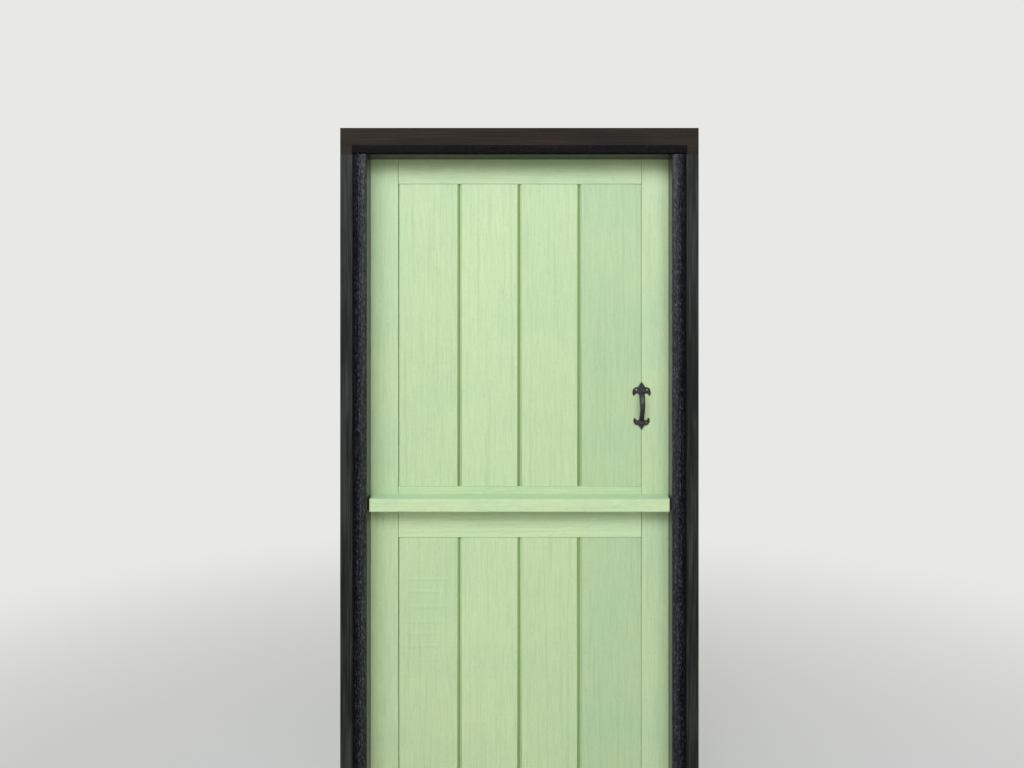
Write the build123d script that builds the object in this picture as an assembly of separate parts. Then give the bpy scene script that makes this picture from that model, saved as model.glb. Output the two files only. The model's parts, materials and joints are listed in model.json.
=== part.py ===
from build123d import *
import math
import os

# A stable door in its frame: two leaves, one above the other, that open inwards.
# Millimetres. X runs to the right seen from outside, Y into the building, Z up.
# The origin is on the sill's underside, midway between the jambs, level with the
# outer face of the frame.

# The leaves
leaf_width = 838
leaf_thickness = 44
upper_leaf_height = 966.5
lower_leaf_height = 1011.5
hinge_stile_width = 87.5
latch_stile_width = 86
upper_top_rail_height = 79.5
upper_bottom_rail_height = 61
lower_top_rail_height = 76.5
lower_bottom_rail_height = 195
timber_arris = 1.2

# Gaps round the leaves
side_gap = 3
head_gap = 3
meeting_gap = 3
floor_gap = 5
stop_gap = 2

# The frame
stop_lap = 12.5
stop_depth = 54
rough_face_width = 38
rough_arris = 5
margin_width = 33
margin_setback = 7
head_rough_height = 24
head_margin_height = 47
sill_height = 57
sill_projection = 30
sill_fall = 13
sill_nose_radius = 6
drip_radius = 4
drip_inset = 12
frame_tenon_length = 35
frame_tenon_width = 30
frame_tenon_thickness = 20

# Fixing holes through the jambs
fixing_radius = 4
fixing_mouth_radius = 8
fixing_mouth_depth = 5
fixing_inset = 88
fixing_spacing = 600

# Joinery inside the leaves
rebate_lap = 12
tenon_length = 60
tenon_thickness = 14
tenon_shoulder = 14
brace_width = 95

# The boards
board_thickness = 18
board_cover = 164
groove_depth = 6
groove_width = 13
wide_groove_width = 17
tongue_setback = 2
tongue_thickness = 6
tongue_length = 7
tongue_play = 0.1
hinge_side_shrinkage = 1.5

# The weather bar
bar_projection = 42
bar_front_height = 35
bar_back_height = 40
bar_end_gap = 4.8
bar_drip_radius = 3
bar_drip_inset = 10

# Butt hinges
hinge_length = 100
hinge_inset = 200
knuckle_count = 5
knuckle_radius = 5.5
knuckle_gap = 0.3
knuckle_stand_off = 0.5
pin_radius = 3
pin_play = 0.05
pin_tip_radius = 4.6
pin_tip_height = 2.5
plate_thickness = 2.5
plate_width = 32
plate_screw_stagger = 5
plate_screw_margin = 18

# Wood screws
screw_head_radius = 4.2
screw_shank_radius = 2.1
screw_length = 28
screw_tip = 4
small_head_radius = 3.2
small_shank_radius = 1.6
small_screw_length = 20

# Barrel bolts on the inside
bolt_radius = 5
bolt_play = 0.1
bolt_plate_length = 94
bolt_plate_width = 32
bolt_plate_thickness = 2.5
bolt_edge_gap = 3
bolt_nose = 1
staple_width = 10
strap_thickness = 2.5
staple_inset = 2
bolt_tail = 16
bolt_end_chamfer = 1
plate_corner = 3
plate_screw_inset = 22
plate_screw_edge = 5
knob_radius = 5
knob_stem_radius = 3
knob_height = 15
keep_offset = 8
keep_width = 12
keep_play = 1.4
keep_foot = 14
upper_bolt_height = 480
lower_bolt_height = 430
linking_bolt_inset = 49

# The pull handle
handle_height = 281.5
handle_length = 128.4
handle_reach = 25
handle_thickness = 8.5
handle_plate_rim = 2.4
handle_plate_ridge = 5.2
handle_plate_half_width = 25.5
handle_rounding = 0.8
handle_screw_drop = 21
handle_screw_offset = 14.1
handle_foot_screw_rise = 18.3
handle_foot_screw_offset = 12.4
screw_stand = 0.8
bow_top_inset = 23
bow_foot_inset = 21
bow_root = 10
grip_top_width = 14.2
grip_width = 13.2
grip_foot_width = 11.8
grip_chamfer = 2.5

# One side of each plate, from its tip towards the grip: a point that each arc
# passes and the point that it ends on
upper_plate_curves = [
    ((5.4, -6.6), (9.7, -13.6)),
    ((19.0, -15.4), (24.6, -26.5)),
    ((24.0, -32.6), (21.0, -37.7)),
    ((18.2, -32.4), (12.6, -28.9)),
    ((9.2, -30.2), (7.4, -33.6)),
]
lower_plate_curves = [
    ((4.4, -6.2), (8.6, -12.2)),
    ((17.2, -14.0), (22.0, -22.4)),
    ((21.0, -28.0), (17.5, -31.8)),
    ((15.6, -26.8), (11.2, -24.4)),
    ((7.8, -25.4), (6.6, -29.0)),
]

# Places worked out from the sizes
leaf_left = -leaf_width / 2
leaf_right = leaf_width / 2
rebate_half = leaf_width / 2 + side_gap
stop_half = leaf_width / 2 - stop_lap
rough_half = stop_half + rough_face_width
frame_half = rough_half + margin_width
leaf_front = stop_depth + stop_gap
leaf_back = leaf_front + leaf_thickness
board_back = leaf_front + board_thickness
lower_bottom = sill_height + floor_gap
lower_top = lower_bottom + lower_leaf_height
upper_bottom = lower_top + meeting_gap
upper_top = upper_bottom + upper_leaf_height
head_stop = upper_top - stop_lap
head_rebate = upper_top + head_gap
head_rough_top = head_stop + head_rough_height
head_top = head_rough_top + head_margin_height
hinge_line = leaf_left + hinge_stile_width
latch_line = leaf_right - latch_stile_width
hinge_x = leaf_left - side_gap / 2
hinge_y = leaf_back + knuckle_radius + knuckle_stand_off
bolt_axis = bolt_plate_thickness + bolt_play + bolt_radius
upper_hinges = {
    "upper_leaf_top": upper_top - hinge_inset,
    "upper_leaf_low": upper_bottom + hinge_inset,
}
lower_hinges = {
    "lower_leaf_top": lower_top - hinge_inset,
    "lower_leaf_low": lower_bottom + hinge_inset,
}


def box(x, y, z):
    # A block between two X, two Y and two Z values.
    block = Box(x[1] - x[0], y[1] - y[0], z[1] - z[0], align=(Align.MIN,) * 3)
    return Pos(x[0], y[0], z[0]) * block


def eased(points, corners, size):
    # The outline with the named corners cut back by one size along both edges.
    outline = []
    for i, point in enumerate(points):
        if i not in corners:
            outline.append(point)
            continue
        here = Vector(*point)
        for other in (points[i - 1], points[(i + 1) % len(points)]):
            step = (Vector(*other) - here).normalized() * size
            outline.append((here.X + step.X, here.Y + step.Y))
    return outline


def upright(points, bottom, top):
    # A length of timber standing up, from its plan section.
    face = make_face(Polyline(*points, close=True))
    return Pos(0, 0, bottom) * extrude(face, amount=top - bottom, dir=(0, 0, 1))


def level(points, left, right):
    # A length of timber lying along X, from its section seen from the right.
    face = Plane.YZ.offset(left) * make_face(Polyline(*points, close=True))
    return extrude(face, amount=right - left, dir=(1, 0, 0))


def without(piece, *others):
    # The piece with the room that the others take cut out of it.
    for other in others:
        piece = piece - other
    return piece


def group(solids):
    # Several separate solids that share one node.
    return Compound(children=list(solids))


def wood_screw(point, direction, head, shank, length):
    # A countersunk screw with its head flush at the point.
    outline = [
        (0, 0),
        (head, 0),
        (shank, head - shank),
        (shank, length - screw_tip),
        (0, length),
    ]
    solid = revolve(Plane.XZ * make_face(Polyline(*outline, close=True)), axis=Axis.Z)
    return Plane(origin=point, z_dir=direction) * solid


def large_screw(point, direction):
    return wood_screw(point, direction, screw_head_radius, screw_shank_radius, screw_length)


def small_screw(point, direction):
    return wood_screw(point, direction, small_head_radius, small_shank_radius, small_screw_length)


# The frame


def sill():
    # A weathered sill: level under the leaf, falling outwards, with a drip beneath.
    outline = [
        (-sill_projection, 0),
        (leaf_back, 0),
        (leaf_back, sill_height),
        (stop_depth, sill_height),
        (-sill_projection, sill_height - sill_fall),
    ]
    face = make_face(Polyline(*outline, close=True))
    nose = face.vertices().sort_by(Axis.X)[:2].sort_by(Axis.Y)[-1]
    face = fillet(nose, radius=sill_nose_radius)
    body = extrude(Plane.YZ.offset(-frame_half) * face, amount=2 * frame_half, dir=(1, 0, 0))
    groove = Plane.YZ.offset(-frame_half) * Pos(drip_inset - sill_projection, 0) * Circle(drip_radius)
    return body - extrude(groove, amount=2 * frame_half, dir=(1, 0, 0))


def rebated(stop, rebate, rough, edge):
    # The frame's section, as (across, depth) pairs: the stop, the rebate for the leaves,
    # the rough face beside the doorway and the smooth margin set back behind it.
    return [
        (stop, 0),
        (rough, 0),
        (rough, margin_setback),
        (edge, margin_setback),
        (edge, leaf_back),
        (rebate, leaf_back),
        (rebate, stop_depth),
        (stop, stop_depth),
    ]


def rounded_face(points):
    # The section as a face, with both edges of the rough strip rounded.
    face = make_face(Polyline(*points, close=True))
    front = [v for v in face.vertices() if min(abs(v.X), abs(v.Y)) < 0.001]
    return fillet(front, radius=rough_arris)


def jamb_tenon(side, bottom, top):
    middle = (rebate_half + frame_half) / 2
    centre = (stop_depth + leaf_back) / 2
    x = sorted((side * (middle - frame_tenon_width / 2), side * (middle + frame_tenon_width / 2)))
    y = (centre - frame_tenon_thickness / 2, centre + frame_tenon_thickness / 2)
    return box(x, y, (bottom, top))


def fixing_heights():
    lowest = lower_bottom + fixing_inset
    highest = upper_top - fixing_inset
    return [lowest, lowest + fixing_spacing, highest - fixing_spacing, highest]


def fixing_hole(side, z):
    # A hole from the rebate out through the jamb's back, with a countersunk mouth in the rebate.
    y = leaf_front + leaf_thickness / 2
    length = frame_half - rebate_half
    across = Plane(origin=(side * rebate_half, y, z), z_dir=(side, 0, 0))
    outline = [
        (0, 0),
        (fixing_mouth_radius, 0),
        (fixing_radius, fixing_mouth_depth),
        (fixing_radius, length),
        (0, length),
    ]
    return across * revolve(Plane.XZ * make_face(Polyline(*outline, close=True)), axis=Axis.Z)


def jamb(side):
    # The rebated post: its back runs up into the head's rebate and its foot sits on the sill.
    across = [side * x for x in (stop_half, rebate_half, rough_half, frame_half)]
    foot = sill_height - sill_fall
    face = Pos(0, 0, foot) * rounded_face(rebated(*across))
    post = extrude(face, amount=head_rebate - foot, dir=(0, 0, 1))
    front_top = box(sorted((0, 2 * side * frame_half)), (-1, stop_depth), (head_stop, head_rebate + 1))
    post = without(post, front_top, sill())
    post += jamb_tenon(side, head_rebate - 1, head_rebate + frame_tenon_length)
    post += jamb_tenon(side, sill_height - frame_tenon_length, sill_height + 1)
    holes = [fixing_hole(side, z) for z in fixing_heights()]
    return without(post, *holes)


def head():
    # The head lies across both jambs. Its rough strip is lower and stops in line with theirs.
    points = rebated(head_stop, head_rebate, head_rough_top, head_top)
    face = rounded_face([(y, z) for z, y in points])
    beam = extrude(Plane.YZ.offset(-frame_half) * face, amount=2 * frame_half, dir=(1, 0, 0))
    for side in (-1, 1):
        ends = sorted((side * rough_half, 2 * side * frame_half))
        beam -= box(ends, (-1, margin_setback), (head_stop - 1, head_top + 1))
    return beam


# Hinges


def hinge_parts(centre):
    # One butt hinge: the frame's plate, the leaf's plate, the pin and both recesses.
    bottom = centre - hinge_length / 2
    pitch = hinge_length / knuckle_count
    z = (bottom + knuckle_gap / 2, bottom + hinge_length - knuckle_gap / 2)
    y = (leaf_back - plate_width, leaf_back)
    sides = {
        "frame": (-rebate_half - plate_thickness, -rebate_half),
        "leaf": (leaf_left, leaf_left + plate_thickness),
    }
    plates = {name: box(x, y, z) for name, x in sides.items()}
    recesses = dict(plates)
    for i in range(knuckle_count):
        name = ("frame", "leaf")[i % 2]
        low = bottom + i * pitch + knuckle_gap / 2
        high = low + pitch - knuckle_gap
        barrel = Cylinder(knuckle_radius, high - low, align=(Align.CENTER, Align.CENTER, Align.MIN))
        web = box(sides[name], (leaf_back - 1, hinge_y), (low, high))
        plates[name] = plates[name] + web + Pos(hinge_x, hinge_y, low) * barrel
    hole = Pos(hinge_x, hinge_y, centre) * Cylinder(pin_radius + pin_play, 2 * hinge_length)
    plates = {name: plate - hole for name, plate in plates.items()}
    return plates, hinge_pin(*z), recesses


def hinge_pin(bottom, top):
    # The pin, with a rounded-off button at each end.
    tip = pin_tip_radius
    cut = pin_tip_height / 2
    outline = [
        (0, bottom - pin_tip_height),
        (tip - cut, bottom - pin_tip_height),
        (tip, bottom - cut),
        (tip, bottom),
        (pin_radius, bottom),
        (pin_radius, top),
        (tip, top),
        (tip, top + cut),
        (tip - cut, top + pin_tip_height),
        (0, top + pin_tip_height),
    ]
    pin = revolve(Plane.XZ * make_face(Polyline(*outline, close=True)), axis=Axis.Z)
    return Pos(hinge_x, hinge_y, 0) * pin


def hinge_screws(centre, side):
    # Three staggered screws through one plate, into the jamb or into the leaf's edge.
    x = {"frame": -rebate_half, "leaf": leaf_left}[side]
    direction = {"frame": (-1, 0, 0), "leaf": (1, 0, 0)}[side]
    middle = leaf_back - plate_width / 2
    reach = hinge_length / 2 - plate_screw_margin
    screws = []
    for i in (-1, 0, 1):
        y = middle + plate_screw_stagger * (1 if i else -1)
        screws.append(large_screw((x, y, centre + i * reach), direction))
    return screws


# Leaves


def stile(edge, line, bottom, top):
    # An upright of a leaf, from its outer edge to the joint line seen on the face.
    inward = math.copysign(rebate_lap, line - edge)
    points = [
        (edge, leaf_front),
        (line, leaf_front),
        (line, board_back),
        (line + inward, board_back),
        (line + inward, leaf_back),
        (edge, leaf_back),
    ]
    return upright(eased(points, (0, 1, 4, 5), timber_arris), bottom, top)


def rail(outer, line):
    # A cross-piece of a leaf, from the leaf's top or bottom to the joint line on the face.
    inward = math.copysign(rebate_lap, line - outer)
    points = [
        (leaf_front, outer),
        (leaf_front, line),
        (board_back, line),
        (board_back, line + inward),
        (leaf_back, line + inward),
        (leaf_back, outer),
    ]
    return level(eased(points, (0, 1, 4, 5), timber_arris), hinge_line, latch_line)


def rail_tenons(outer, line):
    # A tenon at each end of a rail, behind the line of the boards.
    low, high = sorted((outer, line))
    z = (low + tenon_shoulder, high - tenon_shoulder)
    y = (board_back, board_back + tenon_thickness)
    left = box((hinge_line - tenon_length, hinge_line + rebate_lap + 1), y, z)
    right = box((latch_line - rebate_lap - 1, latch_line + tenon_length), y, z)
    return left, right


def leaf_frame(name, bottom, top, bottom_rail_height, top_rail_height):
    # Two stiles and two rails, tenoned together, with a rebate for the boards.
    stiles = {
        "hinge_stile": stile(leaf_left, hinge_line, bottom, top),
        "latch_stile": stile(leaf_right, latch_line, bottom, top),
    }
    rails = {}
    lines = {
        "top_rail": (top, top - top_rail_height),
        "bottom_rail": (bottom, bottom + bottom_rail_height),
    }
    for part, (outer, line) in lines.items():
        body = without(rail(outer, line), *stiles.values())
        for tenon in rail_tenons(outer, line):
            body += tenon
        rails[part] = body
    stiles = {part: without(body, *rails.values()) for part, body in stiles.items()}
    return {f"{name}_{part}": body for part, body in {**stiles, **rails}.items()}


def board(left, right, left_groove, right_groove, bottom, top):
    # A tongued board. A groove width of 0 is a plain edge, against a stile.
    tongue_front = leaf_front + groove_depth + tongue_setback
    tongue_back = tongue_front + tongue_thickness
    if left_groove:
        inside = left + tongue_length + tongue_play
        start = [
            (left, board_back),
            (left, tongue_back + tongue_play),
            (inside, tongue_back + tongue_play),
            (inside, tongue_front - tongue_play),
            (left, tongue_front - tongue_play),
            (left, leaf_front + groove_depth),
            (left + left_groove / 2, leaf_front),
        ]
    else:
        start = [
            (left, board_back),
            (left, leaf_front + timber_arris),
            (left + timber_arris, leaf_front),
        ]
    if right_groove:
        end = [
            (right - right_groove / 2, leaf_front),
            (right, leaf_front + groove_depth),
            (right, tongue_front),
            (right + tongue_length, tongue_front),
            (right + tongue_length, tongue_back),
            (right, tongue_back),
            (right, board_back),
        ]
    else:
        end = [
            (right - timber_arris, leaf_front),
            (right, leaf_front + timber_arris),
            (right, board_back),
        ]
    return upright(start + end, bottom, top)


def boards(name, bottom, top, last_groove):
    # The boards from stile to stile, set out from the leaf's middle. The outer two are
    # ripped to what is left.
    count = round((latch_line - hinge_line) / board_cover)
    inner = [(i - count / 2) * board_cover for i in range(1, count)]
    joints = [hinge_line] + inner + [latch_line]
    widths = [0] + [groove_width] * (count - 1) + [0]
    widths[count - 1] = last_groove
    pieces = {}
    for i in range(count):
        left = joints[i] + (hinge_side_shrinkage if i == 0 else 0)
        pieces[f"{name}_board_{i + 1}"] = board(
            left, joints[i + 1], widths[i], widths[i + 1], bottom, top)
    return pieces


def brace(bottom, top):
    # The diagonal behind the boards, rising from the hinge side, cut into both corners.
    x = (hinge_line + rebate_lap, latch_line - rebate_lap)
    z = (bottom + rebate_lap, top - rebate_lap)
    width = x[1] - x[0]
    height = z[1] - z[0]
    middle = Pos((x[0] + x[1]) / 2, (z[0] + z[1]) / 2)
    slope = math.degrees(math.atan2(height, width))
    strip = middle * Rot(0, 0, slope) * Rectangle(2 * width, brace_width)
    shape = strip & middle * Rectangle(width, height)
    return extrude(Plane.XZ.offset(-leaf_back) * shape, amount=leaf_back - board_back, dir=(0, -1, 0))


def weather_bar():
    # A sloping bar planted on the upper leaf's foot, with a drip groove under its front.
    half = stop_half - bar_end_gap
    nose = leaf_front - bar_projection
    points = [
        (nose, upper_bottom),
        (leaf_front, upper_bottom),
        (leaf_front, upper_bottom + bar_back_height),
        (nose, upper_bottom + bar_front_height),
    ]
    bar = level(eased(points, (0, 3), timber_arris), -half, half)
    groove = Plane.YZ.offset(-half) * Pos(nose + bar_drip_inset, upper_bottom) * Circle(bar_drip_radius)
    return bar - extrude(groove, amount=2 * half, dir=(1, 0, 0))


# The pull handle


def handle_place():
    # The handle's own frame: X across, Y up and Z out from the leaf's face.
    return Plane(origin=(latch_line, leaf_front, upper_bottom + handle_height),
                 x_dir=(1, 0, 0), z_dir=(0, -1, 0))


def horned_outline(curves):
    # A pointed leaf between two curled horns: one side is drawn, then mirrored.
    # Each curve is a point that it passes and the point that it ends on.
    here = (0, 0)
    edges = []
    for via, end in curves:
        edges.append(ThreePointArc(here, via, end))
        here = end
    foot = (0, here[1])
    half = make_face(edges + [Line(here, foot), Line(foot, (0, 0))])
    return half + mirror(half, about=Plane.YZ)


def ridged(outline):
    # A plate that falls from its midrib to a thinner, rounded rim, like a leaf.
    edge = handle_plate_half_width
    rim = handle_plate_rim
    points = [(-edge, 0), (edge, 0), (edge, rim), (0, handle_plate_ridge), (-edge, rim)]
    roof = Plane.XZ.offset(-handle_length) * make_face(Polyline(*points, close=True))
    plate = extrude(outline, amount=handle_plate_ridge) & extrude(roof, amount=2 * handle_length)
    sides = [edge for edge in plate.edges() if max(abs(v.X) for v in edge.vertices()) > handle_rounding]
    return fillet([edge for edge in sides if min(v.Z for v in edge.vertices()) > rim / 2], handle_rounding)


def bow():
    # The grip bows out from plate to plate and tapers a little towards its foot.
    top = handle_length / 2 - bow_top_inset
    foot = bow_foot_inset - handle_length / 2
    inner = handle_reach - handle_thickness
    side = make_face([
        ThreePointArc((top, 0), (0, handle_reach), (foot, 0)),
        Line((foot, 0), (foot + bow_root, 0)),
        ThreePointArc((foot + bow_root, 0), (0, inner), (top - bow_root, 0)),
        Line((top - bow_root, 0), (top, 0)),
    ])
    widths = [(top, grip_top_width), (top / 3, grip_width), (foot / 2, grip_foot_width), (foot, grip_foot_width)]
    right = [(width / 2, y) for y, width in widths]
    left = [(-x, y) for x, y in reversed(right)]
    front = make_face(Polyline(*right, *left, close=True))
    slab = extrude(Plane.YZ.offset(-grip_width) * side, amount=2 * grip_width, dir=(1, 0, 0))
    bar = slab & extrude(front, amount=handle_reach + 1)
    outer = [edge for edge in bar.edges() if edge.center().Z > inner and edge.length > grip_chamfer * 4]
    return chamfer(outer, grip_chamfer)


def handle_screws():
    # Two countersunk screws through the horns of each plate.
    half = handle_length / 2
    spots = [(half - handle_screw_drop, handle_screw_offset),
             (handle_foot_screw_rise - half, handle_foot_screw_offset)]
    height = handle_plate_rim + screw_stand
    screws = [small_screw((side * x, y, height), (0, 0, -1)) for y, x in spots for side in (-1, 1)]
    return [handle_place() * screw for screw in screws]


def pull_handle():
    half = handle_length / 2
    upper = Pos(0, half) * horned_outline(upper_plate_curves)
    lower = Pos(0, -half) * Rot(0, 0, 180) * horned_outline(lower_plate_curves)
    return handle_place() * (ridged(upper) + ridged(lower) + bow())


# Barrel bolts. Each is drawn in its own frame: X the way it shoots, Z out from the timber.


def loop(radius, base):
    # A round-topped outline over the bolt, standing on a base.
    legs = Pos(0, (base + bolt_axis) / 2) * Rectangle(2 * radius, bolt_axis - base)
    above = Pos(0, bolt_axis + radius / 2) * Rectangle(2 * radius, radius)
    return legs + (above & Pos(0, bolt_axis) * Circle(radius))


def along(sketch, start, length):
    # A section drawn across the bolt, drawn out along it.
    return extrude(Plane.YZ.offset(start) * sketch, amount=length, dir=(1, 0, 0))


def staple_starts():
    return [-staple_inset - staple_width, staple_inset - bolt_plate_length]


def bolt_case():
    # A back plate with two staples that the bolt slides in.
    plate = Pos(-bolt_plate_length / 2, 0) * RectangleRounded(bolt_plate_length, bolt_plate_width, plate_corner)
    case = extrude(plate, amount=bolt_plate_thickness)
    inner = bolt_radius + bolt_play
    staple = loop(inner + strap_thickness, bolt_plate_thickness) - loop(inner, bolt_plate_thickness)
    for start in staple_starts():
        case += along(staple, start, staple_width)
    return without(case, *case_screws())


def case_screws():
    x = (-plate_screw_inset, plate_screw_inset - bolt_plate_length)
    y = bolt_plate_width / 2 - plate_screw_edge
    top = bolt_plate_thickness
    return [small_screw((i, j, top), (0, 0, -1)) for i in x for j in (-y, y)]


def bolt_bar():
    # The round bolt, drawn back, with its knob just ahead of the rear staple.
    rear = -bolt_plate_length - bolt_tail
    bar = along(Pos(0, bolt_axis) * Circle(bolt_radius), rear, bolt_nose - rear)
    bar = chamfer(bar.edges().filter_by(GeomType.CIRCLE), bolt_end_chamfer)
    knob_x = staple_starts()[1] + staple_width + 2 * knob_stem_radius
    stem = Cylinder(knob_stem_radius, knob_height, align=(Align.CENTER, Align.CENTER, Align.MIN))
    knob = Pos(knob_x, 0, bolt_axis) * stem + Pos(knob_x, 0, bolt_axis + knob_height) * Sphere(knob_radius)
    return bar + knob


def keep_screws():
    x = bolt_edge_gap + keep_offset + keep_width / 2
    y = bolt_radius + keep_play + strap_thickness + keep_foot / 2
    return [small_screw((x, side * y, strap_thickness), (0, 0, -1)) for side in (-1, 1)]


def bolt_keep():
    # A bent strap that takes the bolt's end, with a foot each side.
    inner = bolt_radius + keep_play
    outer = inner + strap_thickness
    feet = Pos(0, strap_thickness / 2) * Rectangle(2 * (outer + keep_foot), strap_thickness)
    section = feet + loop(outer, 0) - loop(inner, 0)
    keep = along(section, bolt_edge_gap + keep_offset, keep_width)
    return without(keep, *keep_screws())


def bolt_places():
    # Where each bolt's front end sits, and the way that it shoots.
    across = dict(x_dir=(1, 0, 0), z_dir=(0, 1, 0))
    end = leaf_right - bolt_edge_gap
    return {
        "upper_bolt": Plane(origin=(end, leaf_back, upper_bottom + upper_bolt_height), **across),
        "lower_bolt": Plane(origin=(end, leaf_back, lower_bottom + lower_bolt_height), **across),
        "linking_bolt": Plane(origin=(leaf_right - linking_bolt_inset, leaf_back, upper_bottom + bolt_edge_gap),
                              x_dir=(0, 0, -1), z_dir=(0, 1, 0)),
    }


# The whole door


def cut_room(nodes, names, *others):
    # Cuts the room for the others out of each named piece.
    for name in names:
        nodes[name] = without(nodes[name], *others)


def build():
    nodes = {"hinge_jamb": jamb(-1), "latch_jamb": jamb(1)}
    jambs = list(nodes.values())
    nodes["head"] = without(head(), *jambs)
    nodes["sill"] = without(sill(), *jambs)

    leaves = {
        "upper": (upper_bottom, upper_top, upper_bottom_rail_height, upper_top_rail_height, groove_width),
        "lower": (lower_bottom, lower_top, lower_bottom_rail_height, lower_top_rail_height, wide_groove_width),
    }
    for name, (bottom, top, foot_rail, top_rail, last_groove) in leaves.items():
        panel = (bottom + foot_rail, top - top_rail)
        nodes.update(leaf_frame(name, bottom, top, foot_rail, top_rail))
        nodes.update(boards(name, *panel, last_groove))
        nodes[f"{name}_brace"] = brace(*panel)
    nodes["weather_bar"] = weather_bar()

    screws = {}
    for leaf, hinges in (("upper", upper_hinges), ("lower", lower_hinges)):
        for name, centre in hinges.items():
            plates, pin, recesses = hinge_parts(centre)
            for side, node in (("frame", "hinge_jamb"), ("leaf", f"{leaf}_hinge_stile")):
                fixings = hinge_screws(centre, side)
                nodes[f"{name}_hinge_{side}_plate"] = without(plates[side], *fixings)
                cut_room(nodes, [node], recesses[side], *fixings)
                store = "frame" if side == "frame" else leaf
                screws.setdefault(f"{store}_hinge_screws", []).extend(fixings)
            nodes[f"{name}_hinge_pin"] = pin

    upper = ("upper_bolt_screws", ["upper_latch_stile", "upper_bottom_rail"])
    lower = ("lower_bolt_screws", ["lower_latch_stile", "lower_top_rail"])
    frame = ("frame_keep_screws", ["latch_jamb"])
    carriers = {"upper_bolt": (upper, frame), "lower_bolt": (lower, frame), "linking_bolt": (upper, lower)}
    for name, place in bolt_places().items():
        nodes[f"{name}_case"] = place * bolt_case()
        nodes[f"{name}_bar"] = place * bolt_bar()
        nodes[f"{name}_keep"] = place * bolt_keep()
        for (store, timbers), fixings in zip(carriers[name], (case_screws(), keep_screws())):
            placed = [place * screw for screw in fixings]
            cut_room(nodes, timbers, *placed)
            screws.setdefault(store, []).extend(placed)

    fixings = handle_screws()
    nodes["pull_handle"] = without(pull_handle(), *fixings)
    last_board = [name for name in nodes if name.startswith("upper_board")][-1]
    cut_room(nodes, ["upper_latch_stile", last_board], *fixings)
    screws["handle_screws"] = fixings
    for name, pieces in screws.items():
        nodes[name] = group(pieces)
    return nodes


os.makedirs("parts", exist_ok=True)
for node, shape in build().items():
    export_step(shape, f"parts/{node}.step")
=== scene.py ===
import json
import math

import bmesh
import bpy
from mathutils import Matrix, Vector, noise


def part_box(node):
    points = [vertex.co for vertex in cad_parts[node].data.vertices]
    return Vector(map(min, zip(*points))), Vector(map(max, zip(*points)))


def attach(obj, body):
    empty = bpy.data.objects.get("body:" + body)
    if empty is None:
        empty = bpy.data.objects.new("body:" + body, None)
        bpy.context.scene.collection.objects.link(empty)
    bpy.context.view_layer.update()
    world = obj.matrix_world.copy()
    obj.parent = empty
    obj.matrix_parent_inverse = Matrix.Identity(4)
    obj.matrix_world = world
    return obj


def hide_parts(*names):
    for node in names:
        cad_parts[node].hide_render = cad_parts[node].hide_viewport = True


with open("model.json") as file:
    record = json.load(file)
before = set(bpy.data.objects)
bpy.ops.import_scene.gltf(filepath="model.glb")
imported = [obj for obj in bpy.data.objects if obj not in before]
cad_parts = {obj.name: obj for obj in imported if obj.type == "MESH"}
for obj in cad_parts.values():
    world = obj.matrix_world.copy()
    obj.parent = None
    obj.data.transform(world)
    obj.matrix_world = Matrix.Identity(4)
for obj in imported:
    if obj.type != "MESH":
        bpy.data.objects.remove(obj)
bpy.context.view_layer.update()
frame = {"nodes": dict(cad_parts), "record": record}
mm = 0.001
print("stable door: CAD loaded,", len(frame["nodes"]), "nodes")


# Colours and nodes

def linearColour(hexColour):
    # an sRGB hex colour as the linear one that the shaders work in
    parts = [int(hexColour[i:i + 2], 16) / 255 for i in (1, 3, 5)]
    return [c / 12.92 if c <= 0.04045 else ((c + 0.055) / 1.055) ** 2.4 for c in parts] + [1]


def addNode(material, kind, links=None, **settings):
    # one node with its settings, and its sockets linked or set
    made = material.node_tree.nodes.new("ShaderNode" + kind)
    for name, value in settings.items():
        setattr(made, name, value)
    for socket, value in (links or {}).items():
        if isinstance(value, bpy.types.NodeSocket):
            material.node_tree.links.new(value, made.inputs[socket])
        else:
            made.inputs[socket].default_value = value
    return made


def newMaterial(name):
    # an empty material with its shader, and the object's own coordinates
    material = bpy.data.materials.new(name)
    material.use_nodes = True
    material.node_tree.nodes.clear()
    shader = addNode(material, "BsdfPrincipled")
    addNode(material, "OutputMaterial", {"Surface": shader.outputs[0]})
    return material, shader, addNode(material, "TexCoord").outputs["Object"]


def along(direction, across, length):
    # scale of a pattern in 1/m from its sizes in mm: fine across the timber, long along it
    scale = [1000 / across] * 3
    scale["XYZ".index(direction)] = 1000 / length
    return scale


def marks(material, coords, direction, across, length, detail, roughness=0.5, distortion=0, lean=0):
    # noise whose marks are as wide and long as given in mm, and may lean by some degrees
    if lean:
        leaning = addNode(material, "Mapping", {"Vector": coords, "Rotation": (0, math.radians(lean), 0)})
        coords = leaning.outputs[0]
    placed = addNode(material, "Mapping", {"Vector": coords, "Scale": along(direction, across, length)})
    return addNode(material, "TexNoise", {"Vector": placed.outputs[0], "Scale": 1, "Detail": detail,
                                          "Roughness": roughness, "Distortion": distortion}).outputs[0]


def coat(material, below, above, pattern, low, high, most=1):
    # one colour laid over another where a pattern is high; they are sockets 6 and 7 of a Mix node
    share = addNode(material, "MapRange", {"Value": pattern, "From Min": low, "From Max": high,
                                           "To Max": most})
    return addNode(material, "Mix", {0: share.outputs[0], 6: below, 7: above}, data_type="RGBA").outputs[2]


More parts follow.
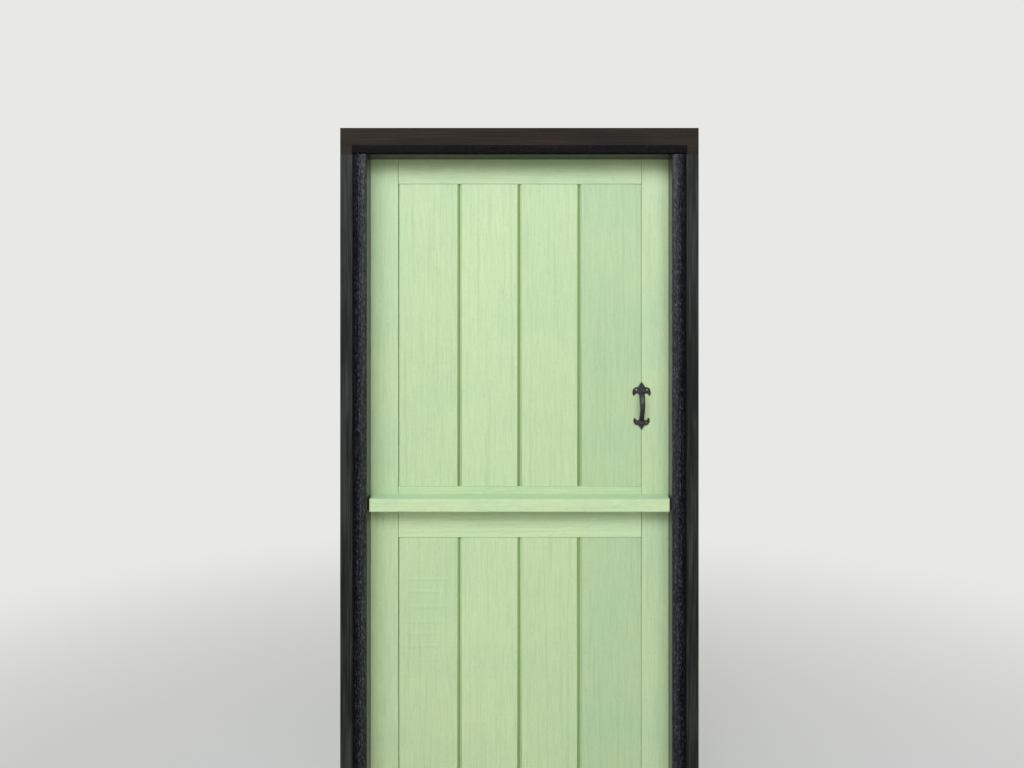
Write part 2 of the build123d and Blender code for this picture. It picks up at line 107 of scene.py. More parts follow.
def finishSurface(material, shader, colour, dulling, span, roughness, height, strength=1, depth=1):
    # colour, roughness that follows a pattern over its span, and bump whose unit is the depth in mm
    rough = addNode(material, "MapRange", {"Value": dulling, "From Min": span[0], "From Max": span[1],
                                           "To Min": roughness[0], "To Max": roughness[1]})
    bump = addNode(material, "Bump", {"Height": height, "Strength": strength, "Distance": depth * mm})
    links = material.node_tree.links
    links.new(colour, shader.inputs["Base Color"])
    links.new(rough.outputs[0], shader.inputs["Roughness"])
    links.new(bump.outputs[0], shader.inputs["Normal"])


# Camera at the photograph's place: level, square to the door, a little right of its middle

viewSettings = {
    "place": (0.020, -1.857, 1.4965),
    "lens": 24.6,
    "sensor": 36,
    "shift": (-0.0146, -0.0283),
}


def makeCamera():
    lens = bpy.data.cameras.new("camera")
    lens.lens = viewSettings["lens"]
    lens.sensor_width = viewSettings["sensor"]
    lens.shift_x, lens.shift_y = viewSettings["shift"]
    lens.dof.use_dof = False
    camera = bpy.data.objects.new("camera", lens)
    camera.location = viewSettings["place"]
    camera.rotation_euler = (math.radians(90), 0, 0)
    bpy.context.collection.objects.link(camera)
    bpy.context.scene.camera = camera


# Plain light: soft lamps in front, on both sides and behind, each given by its bearing and rise
# in degrees, seen from the middle of the door

lampSettings = {
    "front": {"bearing": -8, "rise": 45, "distance": 8, "size": 3.2, "power": 286, "colour": "#EEF4FF"},
    "left": {"bearing": -40, "rise": 32, "distance": 6, "size": 2.8, "power": 96, "colour": "#EEF4FF"},
    "right": {"bearing": 22, "rise": 30, "distance": 6, "size": 2.4, "power": 80, "colour": "#EEF4FF"},
    "behind": {"bearing": 160, "rise": 48, "distance": 6, "size": 2.4, "power": 230, "colour": "#F4F8FF"},
}
lampMiddle = (0, 0, 1.25)
worldSettings = {"shown": "#E8E8E6", "ambient": "#FFF2B0", "strength": 0.42}


def makeLamps():
    middle = Vector(lampMiddle)
    for name, s in lampSettings.items():
        lamp = bpy.data.lights.new(name, "AREA")
        lamp.size = s["size"]
        lamp.energy = s["power"]
        lamp.color = linearColour(s["colour"])[:3]
        holder = bpy.data.objects.new(name, lamp)
        turn = Matrix.Rotation(math.radians(s["bearing"]), 3, "Z")
        lift = Matrix.Rotation(math.radians(-s["rise"]), 3, "X")
        holder.location = middle + turn @ lift @ Vector((0, -s["distance"], 0))
        holder.rotation_euler = (middle - holder.location).to_track_quat("-Z", "Y").to_euler()
        bpy.context.collection.objects.link(holder)


def seesBackground(material):
    # 1 where the camera, a reflection or a view through glass meets the background
    path = addNode(material, "LightPath").outputs
    mirrored = addNode(material, "Math", {0: path["Is Glossy Ray"], 1: path["Is Transmission Ray"]},
                       operation="MAXIMUM")
    return addNode(material, "Math", {0: path["Is Camera Ray"], 1: mirrored.outputs[0]},
                   operation="MAXIMUM").outputs[0]


def makeWorld():
    # the pale background that is seen, and the dimmer and warmer light that fills the shadows
    world = bpy.data.worlds.new("studio")
    world.use_nodes = True
    world.node_tree.nodes.clear()
    shown = addNode(world, "Background", {"Color": linearColour(worldSettings["shown"]), "Strength": 1})
    ambient = addNode(world, "Background", {"Color": linearColour(worldSettings["ambient"]),
                                            "Strength": worldSettings["strength"]})
    mixed = addNode(world, "MixShader", {0: seesBackground(world), 1: ambient.outputs[0],
                                         2: shown.outputs[0]})
    addNode(world, "OutputWorld", {"Surface": mixed.outputs[0]})
    bpy.context.scene.world = world


# Floor: matt backdrop paper, which shows no gloss and takes a soft grey shadow

floorSettings = {"half": 40, "colour": "#BBBDC6", "roughness": 0.9, "gloss": 0.2, "near": 1.0, "far": 4.4}


def makeFloor():
    # it keeps the door's shadow and fades into the background further out
    s = floorSettings
    mesh = bmesh.new()
    bmesh.ops.create_grid(mesh, x_segments=1, y_segments=1, size=s["half"])
    data = bpy.data.meshes.new("floor")
    mesh.to_mesh(data)
    mesh.free()
    floor = bpy.data.objects.new("floor", data)
    bpy.context.collection.objects.link(floor)
    material, shader, coords = newMaterial("mattBackdropPaper")
    shader.inputs["Base Color"].default_value = linearColour(s["colour"])
    shader.inputs["Roughness"].default_value = s["roughness"]
    shader.inputs["Specular IOR Level"].default_value = s["gloss"]
    away = addNode(material, "VectorMath", {0: coords}, operation="LENGTH")
    fade = addNode(material, "MapRange", {"Value": away.outputs["Value"], "From Min": s["near"],
                                          "From Max": s["far"]}, interpolation_type="SMOOTHSTEP")
    share = addNode(material, "Math", {0: fade.outputs[0], 1: seesBackground(material)}, operation="MULTIPLY")
    glow = addNode(material, "Emission", {"Color": linearColour(worldSettings["shown"])})
    mixed = addNode(material, "MixShader", {0: share.outputs[0], 1: shader.outputs[0], 2: glow.outputs[0]})
    output = next(n for n in material.node_tree.nodes if n.type == "OUTPUT_MATERIAL")
    material.node_tree.links.new(mixed.outputs[0], output.inputs["Surface"])
    data.materials.append(material)


bpy.context.scene.view_settings.view_transform = "Standard"
makeCamera()
makeLamps()
makeWorld()
makeFloor()
print("stable door: camera, lamps and floor")


# Pieces

weldDistance = 0.002  # mm; the CAD node's triangles are loose


def newMesh(name, mesh, materials, body, stands):
    # a finished piece from a bmesh: it rides on a body and stands for CAD nodes
    data = bpy.data.meshes.new(name)
    mesh.to_mesh(data)
    mesh.free()
    for material in materials:
        data.materials.append(material)
    piece = bpy.data.objects.new(name, data)
    bpy.context.collection.objects.link(piece)
    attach(piece, body)
    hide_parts(*stands)
    return piece


def copyOfNode(name):
    # the CAD node's mesh with its loose triangles joined
    mesh = bmesh.new()
    mesh.from_mesh(bpy.data.objects[name].data)
    bmesh.ops.remove_doubles(mesh, verts=mesh.verts, dist=weldDistance * mm)
    return mesh


def applyModifiers(piece):
    shape = bpy.data.meshes.new_from_object(piece.evaluated_get(bpy.context.evaluated_depsgraph_get()))
    piece.modifiers.clear()
    piece.data = shape


# Leaf paint: sage green satin microporous paint brushed onto planed softwood. The brush leaves
# fine ridges along each timber, and the growth rings stand up a little beneath the film.

leafSettings = {
    # two close tones that drift into each other in patches; the light and level pairs are the plain
    # paint made paler, as painted light, and the shaded pair is made darker, as painted shade
    "tones": {
        "plain": ("#C8DDB1", "#C1DBB0"),
        "light": ("#CBE0B4", "#C5DEB3"),
        "shaded": ("#BBD3A8", "#B4D1A8"),
        "level": ("#D0E5B8", "#C9E3B7"),
    },
    "toneSpan": (0.38, 0.62), "outerFace": (-0.2, -0.6),
    # each kind of mark: width and length in mm, detail, then roughness and distortion
    "marks": {
        "stroke": (2.4, 55, 2),
        "tick": (1.6, 13, 1),
        "ring": (9.0, 420, 3, 0.6, 0.4),
        "patch": (190, 190, 3),
        "fleck": (3.5, 3.5, 1),
    },
    # what shows in the marks: colour, where it starts and is full, and how much of it at most
    "coats": {
        "stroke": ("#7F9468", 0.35, 0.75, 0.18),
        "tick": ("#7F9468", 0.55, 0.75, 0.22),
        "ring": ("#7F9468", 0.52, 0.70, 0.14),
        "fleck": ("#5F6B47", 0.80, 0.84, 0.5),
    },
    "film": "#A9C7A6", "filmOnLevel": (0.1, 0.6, 0.85),
    "strokeHeight": 0.2, "ringHeight": 0.26, "sheenSpan": (0.3, 0.7), "roughness": (0.42, 0.58),
}

# V grooves between the boards, and the planer marks on the first board: places and sizes in mm

grooveSettings = {
    # the grooves' colour is painted shade
    "colour": "#8AA56C", "pitch": 164, "half": 7.5, "top": 56.6, "bottom": 63, "soft": 0.4,
    "turnedAway": (-0.5, 0.5), "held": (0.2, 0.95),
}
planerSettings = {
    "across": (-318, -200, 20), "up": (660, 925, 40), "wave": (60, 300), "scale": 0.5, "wander": 3.5,
    "detail": 2, "detailScale": 0.9, "patches": (0.42, 0.6), "crests": (0.8, 1.0), "height": 0.5,
}


def within(material, value, low, high, soft):
    # 1 between two places along an axis, with soft ends
    rise = addNode(material, "MapRange", {"Value": value, "From Min": (low - soft) * mm,
                                          "From Max": (low + soft) * mm}, interpolation_type="SMOOTHSTEP")
    fall = addNode(material, "MapRange", {"Value": value, "From Min": (high - soft) * mm,
                                          "From Max": (high + soft) * mm, "To Min": 1, "To Max": 0},
                   interpolation_type="SMOOTHSTEP")
    both = addNode(material, "Math", {0: rise.outputs[0], 1: fall.outputs[0]}, operation="MULTIPLY")
    return both.outputs[0]


def paintedGrooveShade(material, apart, facing):
    # painted shade: how dark a groove is painted, most on the flank that turns away from the light
    s = grooveSettings
    half = s["pitch"] * mm / 2
    beside = addNode(material, "Math", {0: apart.outputs[0], 1: half}, operation="ADD")
    nearby = addNode(material, "Math", {0: beside.outputs[0], 1: s["pitch"] * mm, 2: 0}, operation="WRAP")
    middle = addNode(material, "Math", {0: nearby.outputs[0], 1: half}, operation="SUBTRACT")
    close = addNode(material, "Math", {0: middle.outputs[0], 1: 0, 2: s["half"] * mm}, operation="COMPARE")
    sunk = within(material, apart.outputs[1], s["top"], s["bottom"], s["soft"])
    inside = addNode(material, "Math", {0: close.outputs[0], 1: sunk}, operation="MULTIPLY")
    flank = addNode(material, "MapRange", {"Value": facing.outputs[0], "From Min": s["turnedAway"][0],
                                           "From Max": s["turnedAway"][1], "To Min": s["held"][0],
                                           "To Max": s["held"][1]})
    held = addNode(material, "Math", {0: inside.outputs[0], 1: flank.outputs[0]}, operation="MULTIPLY")
    return held.outputs[0]


def planerMarks(material, coords, apart, patches):
    # height of the few waves that the planer left across the first board of the lower leaf
    s = planerSettings
    here = addNode(material, "Math", {0: within(material, apart.outputs[0], *s["across"]),
                                      1: within(material, apart.outputs[2], *s["up"])}, operation="MULTIPLY")
    placed = addNode(material, "Mapping", {"Vector": coords, "Scale": along("X", *s["wave"])})
    waves = addNode(material, "TexWave", {"Vector": placed.outputs[0], "Scale": s["scale"],
                                          "Distortion": s["wander"], "Detail": s["detail"],
                                          "Detail Scale": s["detailScale"]}, bands_direction="Z")
    worn = addNode(material, "MapRange", {"Value": patches, "From Min": s["patches"][0],
                                          "From Max": s["patches"][1]})
    crests = addNode(material, "MapRange", {"Value": waves.outputs["Fac"], "From Min": s["crests"][0],
                                            "From Max": s["crests"][1], "To Max": s["height"]})
    some = addNode(material, "Math", {0: here.outputs[0], 1: worn.outputs[0]}, operation="MULTIPLY")
    height = addNode(material, "Math", {0: some.outputs[0], 1: crests.outputs[0]}, operation="MULTIPLY")
    return height.outputs[0]


def leafPaint(name, direction, tone="plain", grooved=False):
    s = leafSettings
    material, shader, coords = newMaterial(name)
    apart = addNode(material, "SeparateXYZ", {0: coords})
    facing = addNode(material, "SeparateXYZ", {0: addNode(material, "TexCoord").outputs["Normal"]})
    found = {key: marks(material, coords, direction, *sizes) for key, sizes in s["marks"].items()}
    tones = []
    for kind in ("plain", tone):
        warm, cool = s["tones"][kind]
        tones.append(coat(material, linearColour(warm), linearColour(cool), found["patch"], *s["toneSpan"]))
    # only the outer face wears the chosen tone, with its painted light (light, level) or painted shade
    # (shaded); the inner face keeps the plain tone
    shown = coat(material, tones[0], tones[1], facing.outputs[1], *s["outerFace"])
    for key, (colour, low, high, most) in s["coats"].items():
        shown = coat(material, shown, linearColour(colour), found[key], low, high, most)
    # painted sky reflection and shade: every face that looks up is made darker and bluer
    shown = coat(material, shown, linearColour(s["film"]), facing.outputs[2], *s["filmOnLevel"])
    if grooved:
        # painted shade in the V grooves
        held = paintedGrooveShade(material, apart, facing)
        shown = addNode(material, "Mix", {0: held, 6: shown, 7: linearColour(grooveSettings["colour"])},
                        data_type="RGBA").outputs[2]
    strokes = addNode(material, "Math", {0: found["stroke"], 1: s["strokeHeight"]}, operation="MULTIPLY")
    height = addNode(material, "Math", {0: found["ring"], 1: s["ringHeight"], 2: strokes.outputs[0]},
                     operation="MULTIPLY_ADD").outputs[0]
    if direction == "Z":
        waves = planerMarks(material, coords, apart, found["patch"])
        height = addNode(material, "Math", {0: height, 1: waves}, operation="ADD").outputs[0]
    finishSurface(material, shader, shown, found["ring"], s["sheenSpan"], s["roughness"], height)
    return material


# Frame paint: black stain on the same softwood, on some faces planed and on others hewn

frameSettings = {
    # planed margins of the jambs, and the sill: matt charcoal with a faint grey bloom along the grain
    "post": {"low": "#141615", "high": "#3A3D3B", "share": (0.69, 1.02),
             "roughness": (0.5, 0.66), "gloss": 0.16, "depths": (0.2, 0.05)},
    # planed face of the head: as matt, and brown where the stain has thinned
    "lintel": {"low": "#14110D", "high": "#33281F", "share": (0.62, 1.0),
               "roughness": (0.5, 0.66), "gloss": 0.12, "depths": (0.2, 0.05)},
    # hewn strips of the jambs: black hollows, and slate grey ridges that are painted glints; burnished by
    # wear on the side next to the doorway, and darker on the outer side as painted shade; the
    # places are in mm from the door's middle
    "hewn": {"low": "#08080A", "high": "#4A4D59", "share": (0.68, 0.83),
             "roughness": (0.2, 0.36), "gloss": 0.04, "depths": (0.9, 1.8),
             "worn": {"from": 432, "to": 414, "gloss": 0.33},
             "matt": {"from": 426, "to": 440, "colour": "#050506", "most": 0.85}},
    # hewn strip of the head: the same relief, nearly all black, with much dimmer painted glints
    "hewnHead": {"low": "#040405", "high": "#1B1A1E", "share": (0.68, 0.83),
                 "roughness": (0.3, 0.46), "gloss": 0.06, "depths": (0.9, 1.8)},
    # smooth sides of the doorway: glossy enough to show the green of the leaves
    "reveal": {"low": "#1F211B", "high": "#343830", "share": (0.62, 1.0),
               "roughness": (0.22, 0.34), "gloss": 0.66, "depths": (0.1, 0.03)},
    # each kind of mark: width and length in mm, detail and roughness, then distortion and lean
    "grain": (3.4, 170, 3, 0.6),
    "pit": (2.3, 9.5, 4, 0.6, 0.5, 14),
    "cloud": (60, 320, 2, 0.6),
    "grainInPits": 0.35, "cloudInGrain": 0.6, "sheenSpan": (0.3, 0.7),
}


def framePaint(name, direction, finish):
    s = frameSettings
    f = s[finish]
    material, shader, coords = newMaterial(name)
    grain, pits, cloud = [marks(material, coords, direction, *s[key]) for key in ("grain", "pit", "cloud")]
    if "hewn" in finish:
        parts = {0: grain, 1: s["grainInPits"], 2: pits}
    else:
        parts = {0: cloud, 1: s["cloudInGrain"], 2: grain}
    mottle = addNode(material, "Math", parts, operation="MULTIPLY_ADD")
    # for the hewn finishes, the high colour on the ridges is a painted glint
    shown = coat(material, linearColour(f["low"]), linearColour(f["high"]), mottle.outputs[0], *f["share"])
    shader.inputs["Specular IOR Level"].default_value = f["gloss"]
    if finish == "hewn":
        worn = f["worn"]
        matt = f["matt"]
        apart = addNode(material, "SeparateXYZ", {0: coords})
        across = addNode(material, "Math", {0: apart.outputs[0]}, operation="ABSOLUTE")
        rubbed = addNode(material, "MapRange", {"Value": across.outputs[0], "From Min": worn["from"] * mm,
                                                "From Max": worn["to"] * mm, "To Min": f["gloss"],
                                                "To Max": worn["gloss"]}, interpolation_type="SMOOTHSTEP")
        material.node_tree.links.new(rubbed.outputs[0], shader.inputs["Specular IOR Level"])
        # painted shade: the outer side of the strip is darkened
        shown = coat(material, shown, linearColour(matt["colour"]), across.outputs[0], matt["from"] * mm,
                     matt["to"] * mm, matt["most"])
    grainDepth, pitDepth = f["depths"]
    first = addNode(material, "Math", {0: grain, 1: grainDepth}, operation="MULTIPLY")
    height = addNode(material, "Math", {0: pits, 1: pitDepth, 2: first.outputs[0]}, operation="MULTIPLY_ADD")
    finishSurface(material, shader, shown, grain, s["sheenSpan"], f["roughness"], height.outputs[0])
    return material


# Metals, their marks given as the timber's are: the first numbers are width and length in mm

ironSettings = {
    "low": "#0D0D0F", "high": "#2E3037", "lit": (0.45, 0.75), "hammer": (5.5, 5.5, 1), "pit": (1.1, 1.1, 2),
    "pitDepth": 0.12, "roughness": (0.3, 0.55),
}
metalSettings = {
    "line": (0.8, 30, 2), "lineDepth": 0.05, "strength": 0.3,
    "cloudScale": 90, "cloudDetail": 3,
}


def waxedIron():
    # forged iron, blacked and waxed: dark, with painted glints, a lighter grey laid on the hammer marks
    s = ironSettings
    material, shader, coords = newMaterial("waxedBlackIron")
    blows, pits = [marks(material, coords, "Z", *s[key]) for key in ("hammer", "pit")]
    shown = coat(material, linearColour(s["low"]), linearColour(s["high"]), blows, *s["lit"])
    height = addNode(material, "Math", {0: pits, 1: s["pitDepth"]}, operation="MULTIPLY")
    finishSurface(material, shader, shown, pits, (0, 1), s["roughness"], height.outputs[0])
    return material


def metal(name, colour, dull, roughness, direction="Z", metallic=1.0):
    # a drawn or pressed metal: faint draw lines and dulled patches
    s = metalSettings
    material, shader, coords = newMaterial(name)
    lines = marks(material, coords, direction, *s["line"])
    cloud = addNode(material, "TexNoise", {"Vector": coords, "Scale": s["cloudScale"],
                                           "Detail": s["cloudDetail"]}).outputs[0]
    shown = addNode(material, "Mix", {0: cloud, 6: linearColour(colour), 7: linearColour(dull)},
                    data_type="RGBA").outputs[2]
    shader.inputs["Metallic"].default_value = metallic
    finishSurface(material, shader, shown, cloud, (0, 1), roughness, lines, s["strength"], s["lineDepth"])
    return material


# stiles and braces, then boards of three tones (plain, painted light and painted shade) with painted
# shade in their grooves: upright satin streaks
paintUp = leafPaint("sagePaintUprightGrain", "Z")
paintBoards = leafPaint("sagePaintGroovedBoards", "Z", grooved=True)
paintLitBoards = leafPaint("sagePaintLightBoards", "Z", "light", grooved=True)
paintShaded = leafPaint("sagePaintShadedTimber", "Z", "shaded", grooved=True)
# rails and weather bar, whose streaks run level: a little paler as painted light, but not on the
# upper leaf's rails
paintLitAcross = leafPaint("sagePaintLevelGrain", "X", "level")
paintUpperRails = leafPaint("sagePaintUpperRails", "X")
planedUp = framePaint("blackStainPlanedUpright", "Z", "post")
planedAcross = framePaint("blackStainPlanedLevel", "X", "lintel")
planedSill = framePaint("blackStainPlanedSill", "X", "post")
hewnUp = framePaint("blackStainHewnUpright", "Z", "hewn")
hewnAcross = framePaint("blackStainHewnLevel", "X", "hewnHead")
revealUp = framePaint("blackStainSmoothUpright", "Z", "reveal")
revealAcross = framePaint("blackStainSmoothLevel", "X", "reveal")
iron = waxedIron()
# zinc plating on pressed steel: pale blue grey, satin, with duller patches
zinc = metal("zincPlatedSteel", "#C2C9D2", "#9CA3AC", (0.28, 0.5))
# black japan baked onto pressed steel: an even dark enamel with a soft sheen
japanned = metal("blackJapannedSteel", "#1B1B1D", "#2A2A2C", (0.3, 0.5), metallic=0.0)
# drawn steel, blacked: dark grey, streaked along the bolt
boltSteel = metal("blackedBoltSteel", "#2A2A2D", "#4A4A4C", (0.25, 0.45), "X", metallic=0.6)
# turned steel, dulled by weather: a warm grey glint against the black plates
screwSteel = metal("brightScrewSteel", "#E2CCC6", "#C4A8A0", (0.28, 0.42), metallic=0.7)
print("stable door: materials")

slotOf = {row["node"]: row["material_slot"] for row in frame["record"]["subparts"]}
bodyOf = {node: body for body, nodes in frame["record"]["behaviour"]["bodies"].items() for node in nodes}
levelTimbers = ("rail", "weather_bar", "head", "sill")
# board 2 wears painted light and board 4 painted shade; the upper leaf's rails keep the plain tone
timberTones = {
    "board_1": paintBoards, "board_2": paintLitBoards, "board_3": paintBoards, "board_4": paintShaded,
    "upper_top_rail": paintUpperRails, "upper_bottom_rail": paintUpperRails,
}


def finishOf(node):
    # the material that a CAD node wears
    level = any(word in node for word in levelTimbers)
    leafUsual = paintLitAcross if level else paintUp
    frameUsual = planedAcross if level else planedUp
    return {
        "leaf_paint": next((paint for key, paint in timberTones.items() if key in node), leafUsual),
        "frame_paint": planedSill if node == "sill" else frameUsual,
        "handle_iron": iron, "handle_screws": screwSteel,
        "hinge_steel": zinc, "hinge_screws": zinc,
        "bolt_cases": japanned, "bolt_screws": japanned, "bolt_bars": boltSteel,
    }[slotOf[node]]


for node in frame["nodes"]:
    for slot in bpy.data.objects[node].material_slots:
        slot.material = finishOf(node)


# Softened timbers and fittings: the CAD shapes with every long arris eased, as sandpaper and paint
# leave timber and a file leaves steel. Sizes in mm, angles in degrees.

softSettings = {
    "paint": {"kinds": ("board", "stile", "rail", "brace", "weather_bar", "sill"),
              "ease": 1.3, "shortest": 12},
    "steel": {"kinds": ("plate", "case", "keep"), "ease": 0.35, "shortest": 3},
    "skipped": ("screws", "jamb"), "steps": 2, "flat": 0.5, "corner": 40, "sharp": 48, "sliver": 0.01,
}


def camelName(node, ending):
    first, *others = node.split("_")
    return first + "".join(word.capitalize() for word in others) + ending


def softened(node, ease, shortest):
    s = softSettings
    mesh = copyOfNode(node)
    bmesh.ops.dissolve_limit(mesh, angle_limit=math.radians(s["flat"]), verts=mesh.verts, edges=mesh.edges)
    arrises = [e for e in mesh.edges if e.is_manifold and e.is_convex and e.calc_length() > shortest * mm
               and e.calc_face_angle() > math.radians(s["corner"])]
    bmesh.ops.bevel(mesh, geom=arrises, offset=ease * mm, offset_type="OFFSET", affect="EDGES",
                    segments=s["steps"], profile=0.5, material=-1, clamp_overlap=False)
    bmesh.ops.dissolve_degenerate(mesh, dist=s["sliver"] * mm, edges=mesh.edges)
    for face in mesh.faces:
        face.smooth = True
    piece = newMesh(camelName(node, "Eased"), mesh, [finishOf(node)], bodyOf[node], [node])
    piece.data.set_sharp_from_angle(angle=math.radians(s["sharp"]))
    weighted = piece.modifiers.new("weighted", "WEIGHTED_NORMAL")
    weighted.keep_sharp = True
    applyModifiers(piece)


def softenEverything():
    for node in frame["nodes"]:
        if any(word in node for word in softSettings["skipped"]):
            continue
        for s in (softSettings["paint"], softSettings["steel"]):
            if any(kind in node for kind in s["kinds"]):
                softened(node, s["ease"], s["shortest"])
                break


softenEverything()
print("stable door: softened timbers and fittings")


# Hewn strips: the raised band of each jamb and of the head, left rough from the adze. Sizes in mm;
# each relief has its width, length, depth and seed.

hewnSettings = {
    "jambs": {"hinge_jamb": ("hingeJambTimber", -1, 3), "latch_jamb": ("latchJambTimber", 1, 57)},
    "headSeed": 91, "width": 38, "headWidth": 24, "depth": 7, "inner": 406.5, "arris": 5, "worn": 15,
    "headStop": 2030.5, "foot": 47, "cellAcross": 1.15, "cellAlong": 3.0, "sunk": 0.6, "overlap": 0.1,
    "swell": (24, 130, 0.9, 0), "ridge": (5.0, 24, 1.7, 9), "chip": (6, 15, 1.6, 31),
    "ridgeTop": 0.25, "chipFrom": 0.15, "sideways": 0.6, "slant": 0.2, "drift": 210, "driftSeed": 5,
    "facing": 0.9, "slack": 1, "cutSlack": 0.001,
}


def heave(across, length, seed):
    # how far the hewn face stands out at a place, in metres
    s = hewnSettings

    def relief(key):
        wide, long, depth, shift = s[key]
        return noise.noise(Vector((across / wide / mm, length / long / mm, seed + shift))), depth * mm

    # the ridges lean one way and then the other along the strip
    lean = noise.noise(Vector((length / s["drift"] / mm, seed, s["driftSeed"])))
    across += s["slant"] * s["drift"] * mm * lean
    swell, swellDepth = relief("swell")
    ridge, ridgeDepth = relief("ridge")
    chip, chipDepth = relief("chip")
    ridges = ridgeDepth * (s["ridgeTop"] - abs(ridge))
    return swellDepth * swell + ridges - chipDepth * max(0, chip - s["chipFrom"])


def hewnStrip(width, length, seed, wornSide=0):
    # a strip along Z from 0, its front at Y 0 and its middle at X 0; one side may be worn round
    s = hewnSettings
    half = width / 2 * mm
    radius = s["arris"] * mm
    mesh = bmesh.new()
    bmesh.ops.create_grid(mesh, x_segments=round(width / s["cellAcross"]),
                          y_segments=round(length / mm / s["cellAlong"]), size=0.5)
    bmesh.ops.transform(mesh, verts=mesh.verts, matrix=Matrix.Diagonal((2 * half, length, 1, 1)))
    bmesh.ops.rotate(mesh, verts=mesh.verts, matrix=Matrix.Rotation(math.radians(90), 3, "X"))
    bmesh.ops.translate(mesh, verts=mesh.verts, vec=(0, 0, length / 2))
    for v in mesh.verts:
        wide = s["worn"] * mm if v.co.x * wornSide > 0 else radius
        over = max(0, abs(v.co.x) - (half - wide))
        turn = math.asin(min(1, over / wide))
        out = heave(v.co.x, v.co.z, seed)
        v.co.y += radius * (1 - math.cos(turn)) - out * math.cos(turn)
        v.co.x += math.copysign(out * math.sin(turn) * s["sideways"], v.co.x)
    rim = [e for e in mesh.edges if e.is_boundary]
    made = bmesh.ops.extrude_edge_only(mesh, edges=rim)["geom"]
    back = [g for g in made if isinstance(g, bmesh.types.BMVert)]
    for v in back:
        v.co.y = (s["depth"] + s["sunk"]) * mm
        v.co.x = math.copysign(min(abs(v.co.x), half), v.co.x)
    bmesh.ops.holes_fill(mesh, edges=[e for e in mesh.edges if e.is_boundary], sides=0)
    bmesh.ops.recalc_face_normals(mesh, faces=mesh.faces)
    for face in mesh.faces:
        face.smooth = True
    return mesh


def inReveal(face, node):
    # whether a face of the timber is a side of the doorway, or the head's face above it
    s = hewnSettings
    across = abs(face.calc_center_median().x)
    if abs(face.normal.x) > s["facing"]:
        return across < (s["inner"] + s["slack"]) * mm
    return node == "head" and face.normal.z < -s["facing"] and across < s["inner"] * mm


def hewnPiece(name, node, strip, materials):
    # the CAD timber cut back to its smooth margin, with the hewn strip planted on it; its
    # materials are the margin's, the strip's and the reveal's
    s = hewnSettings
    timber = copyOfNode(node)
    level = (s["depth"] - s["overlap"]) * mm
    bmesh.ops.bisect_plane(timber, geom=timber.verts[:] + timber.edges[:] + timber.faces[:],
                           plane_co=(0, level, 0), plane_no=(0, 1, 0), clear_inner=True,
                           dist=s["cutSlack"] * mm)
    rim = [e for e in timber.edges if e.is_boundary]
    bmesh.ops.triangle_fill(timber, use_beauty=True, edges=rim, normal=(0, -1, 0))
    for face in timber.faces:
        if inReveal(face, node):
            face.material_index = 2
    kept = bpy.data.meshes.new("strip")
    for face in strip.faces:
        face.material_index = 1
    strip.to_mesh(kept)
    strip.free()
    timber.from_mesh(kept)
    bpy.data.meshes.remove(kept)
    newMesh(name, timber, materials, "frame", [node])


def makeHewnFrame():
    s = hewnSettings
    middle = (s["inner"] + s["width"] / 2) * mm
    for node, (name, side, seed) in s["jambs"].items():
        strip = hewnStrip(s["width"], (s["headStop"] - s["foot"]) * mm, seed, -side)
        bmesh.ops.translate(strip, verts=strip.verts, vec=(side * middle, 0, s["foot"] * mm))
        hewnPiece(name, node, strip, [planedUp, hewnUp, revealUp])
    length = 2 * (s["inner"] + s["width"]) * mm
    strip = hewnStrip(s["headWidth"], length, s["headSeed"])
    bmesh.ops.rotate(strip, verts=strip.verts, matrix=Matrix.Rotation(math.radians(90), 3, "Y"))
    bmesh.ops.translate(strip, verts=strip.verts,
                        vec=(-length / 2, 0, (s["headStop"] + s["headWidth"] / 2) * mm))
    hewnPiece("headTimber", "head", strip, [planedAcross, hewnAcross, revealAcross])


makeHewnFrame()
print("stable door: hewn frame")


# Screws: every island of a CAD screws node is one screw; its axis is its longest direction and its
# head the wide end. Sizes of the driver's slot in mm.

slotSettings = {"width": 1.0, "depth": 0.9, "above": 0.6, "reach": 12, "endBand": 0.2}


def screwHeads(mesh):
    # head centre, axis number and outward sign of each screw
    heads = []
    waiting = set(mesh.verts)
    while waiting:
        island = {waiting.pop()}
        edge = set(island)
        while edge:
            edge = {e.other_vert(v) for v in edge for e in v.link_edges} - island
            island |= edge
        waiting -= island
        low = [min(v.co[i] for v in island) for i in range(3)]
        high = [max(v.co[i] for v in island) for i in range(3)]
        axis = max(range(3), key=lambda i: high[i] - low[i])
        centre = Vector([(a + b) / 2 for a, b in zip(low, high)])
        wide = []
        for end in (low[axis], high[axis]):
            centre[axis] = end
            band = slotSettings["endBand"] * mm
            wide.append(max((v.co - centre).length for v in island if abs(v.co[axis] - end) < band))
        sign = 1 if wide[1] > wide[0] else -1
        centre[axis] = high[axis] if sign > 0 else low[axis]
        heads.append((centre, axis, sign))
    return heads


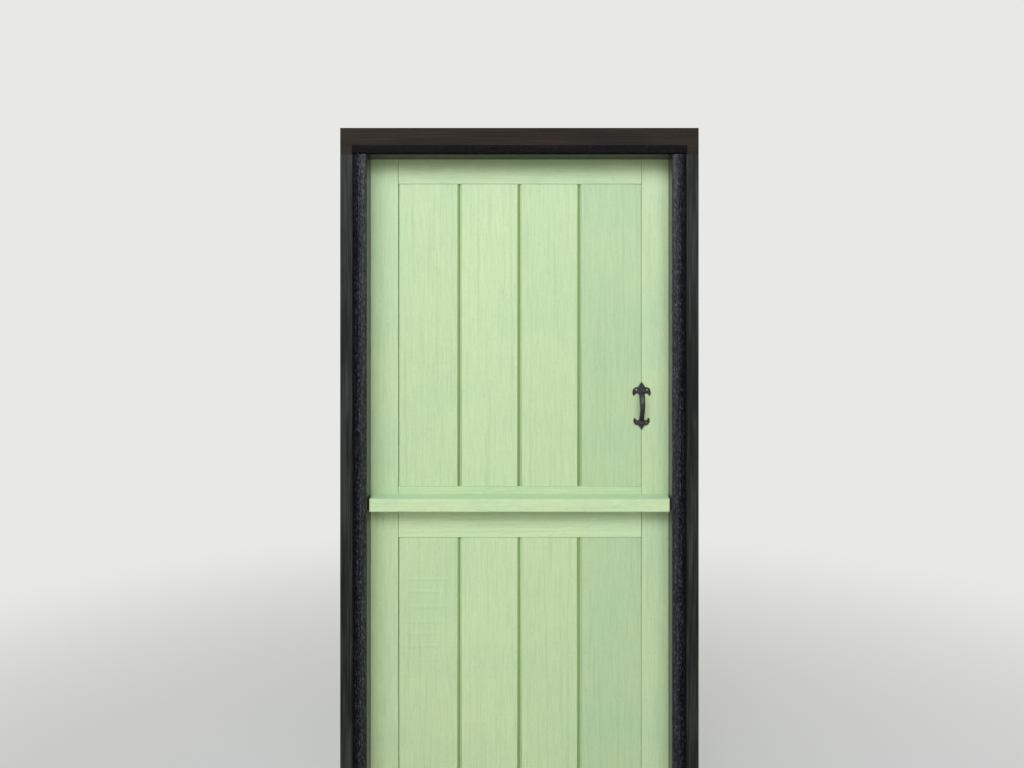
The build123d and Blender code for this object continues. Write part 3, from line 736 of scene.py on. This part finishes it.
def slottedScrews(node):
    s = slotSettings
    mesh = copyOfNode(node)
    cutters = bmesh.new()
    for centre, axis, sign in screwHeads(mesh):
        size = Matrix.Diagonal((s["reach"] * mm, s["width"] * mm, (s["depth"] + s["above"]) * mm, 1))
        lift = Matrix.Translation((0, 0, (s["above"] - s["depth"]) / 2 * mm))
        # each slot stops at its own angle, which follows from the screw's place in mm
        turn = Matrix.Rotation(math.pi * noise.cell(centre * 1000), 4, "Z")
        outward = Vector([sign if i == axis else 0 for i in range(3)]).to_track_quat("Z", "Y").to_matrix()
        place = Matrix.Translation(centre) @ outward.to_4x4() @ turn @ lift @ size
        bmesh.ops.create_cube(cutters, size=1, matrix=place)
    piece = newMesh(camelName(node, "Slotted"), mesh, [finishOf(node)], bodyOf[node], [node])
    data = bpy.data.meshes.new("slots")
    cutters.to_mesh(data)
    cutters.free()
    slots = bpy.data.objects.new("slots", data)
    bpy.context.collection.objects.link(slots)
    cut = piece.modifiers.new("slots", "BOOLEAN")
    cut.object = slots
    cut.solver = "EXACT"
    applyModifiers(piece)
    bpy.data.objects.remove(slots)
    bpy.data.meshes.remove(data)


# Pull handle: the CAD shape worked over as a forging, its arrises softened and its faces hammered.
# Sizes in mm; swell is how far its skin stands off the CAD shape before the blows drive it in.

forgeSettings = {
    "cell": 0.55, "rounds": 3, "blow": 6.0, "blowDepth": 0.32, "blowMiddle": 0.5, "fine": 0.4,
    "swell": 0.42, "fade": 1.5,
    "domeRadius": 2.3, "domeHeight": 1.0, "domeSteps": (32, 16),
}


def makeHandle():
    s = forgeSettings
    piece = newMesh("forgedPullHandle", copyOfNode("pull_handle"), [iron], "upper_leaf",
                    ["pull_handle"])
    voxels = piece.modifiers.new("voxels", "REMESH")
    voxels.mode = "VOXEL"
    voxels.voxel_size = s["cell"] * mm
    voxels.use_smooth_shade = True
    soft = piece.modifiers.new("soft", "SMOOTH")
    soft.iterations = s["rounds"]
    applyModifiers(piece)
    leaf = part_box("upper_board_4")[0][1]
    forged = bmesh.new()
    forged.from_mesh(piece.data)
    for v in forged.verts:
        coarse = noise.noise(v.co / (s["blow"] * mm))
        blow = coarse + s["fine"] * noise.noise(v.co / (s["blow"] * s["fine"] * mm))
        # the skin comes back to the CAD shape where the plates meet the leaf
        share = min(1, max(0, (leaf - v.co.y) / (s["fade"] * mm)))
        v.co += v.normal * ((s["swell"] - s["blowDepth"] * (s["blowMiddle"] + blow)) * mm * share)
    forged.to_mesh(piece.data)
    forged.free()
    makeHandleScrews(piece)


def makeHandleScrews(handle):
    # domed heads that sit on the forged plates
    s = forgeSettings
    radius = s["domeRadius"] * mm
    around, up = s["domeSteps"]
    mesh = copyOfNode("handle_screws")
    for centre in [head[0] for head in screwHeads(mesh)]:
        near = [v.co.y for v in handle.data.vertices
                if math.hypot(v.co.x - centre.x, v.co.z - centre.z) < radius and v.co.y < centre.y + mm]
        scale = Matrix.Diagonal((radius, s["domeHeight"] * mm, radius, 1))
        place = Matrix.Translation((centre.x, sum(near) / len(near), centre.z))
        made = bmesh.ops.create_uvsphere(mesh, u_segments=around, v_segments=up, radius=1,
                                         matrix=place @ scale)
        for face in {f for v in made["verts"] for f in v.link_faces}:
            face.smooth = True
    newMesh("domedHandleScrews", mesh, [screwSteel], "upper_leaf", ["handle_screws"])


makeHandle()
print("stable door: pull handle")
for node in frame["nodes"]:
    if node.endswith("_screws") and node != "handle_screws":
        slottedScrews(node)
print("stable door: screws")
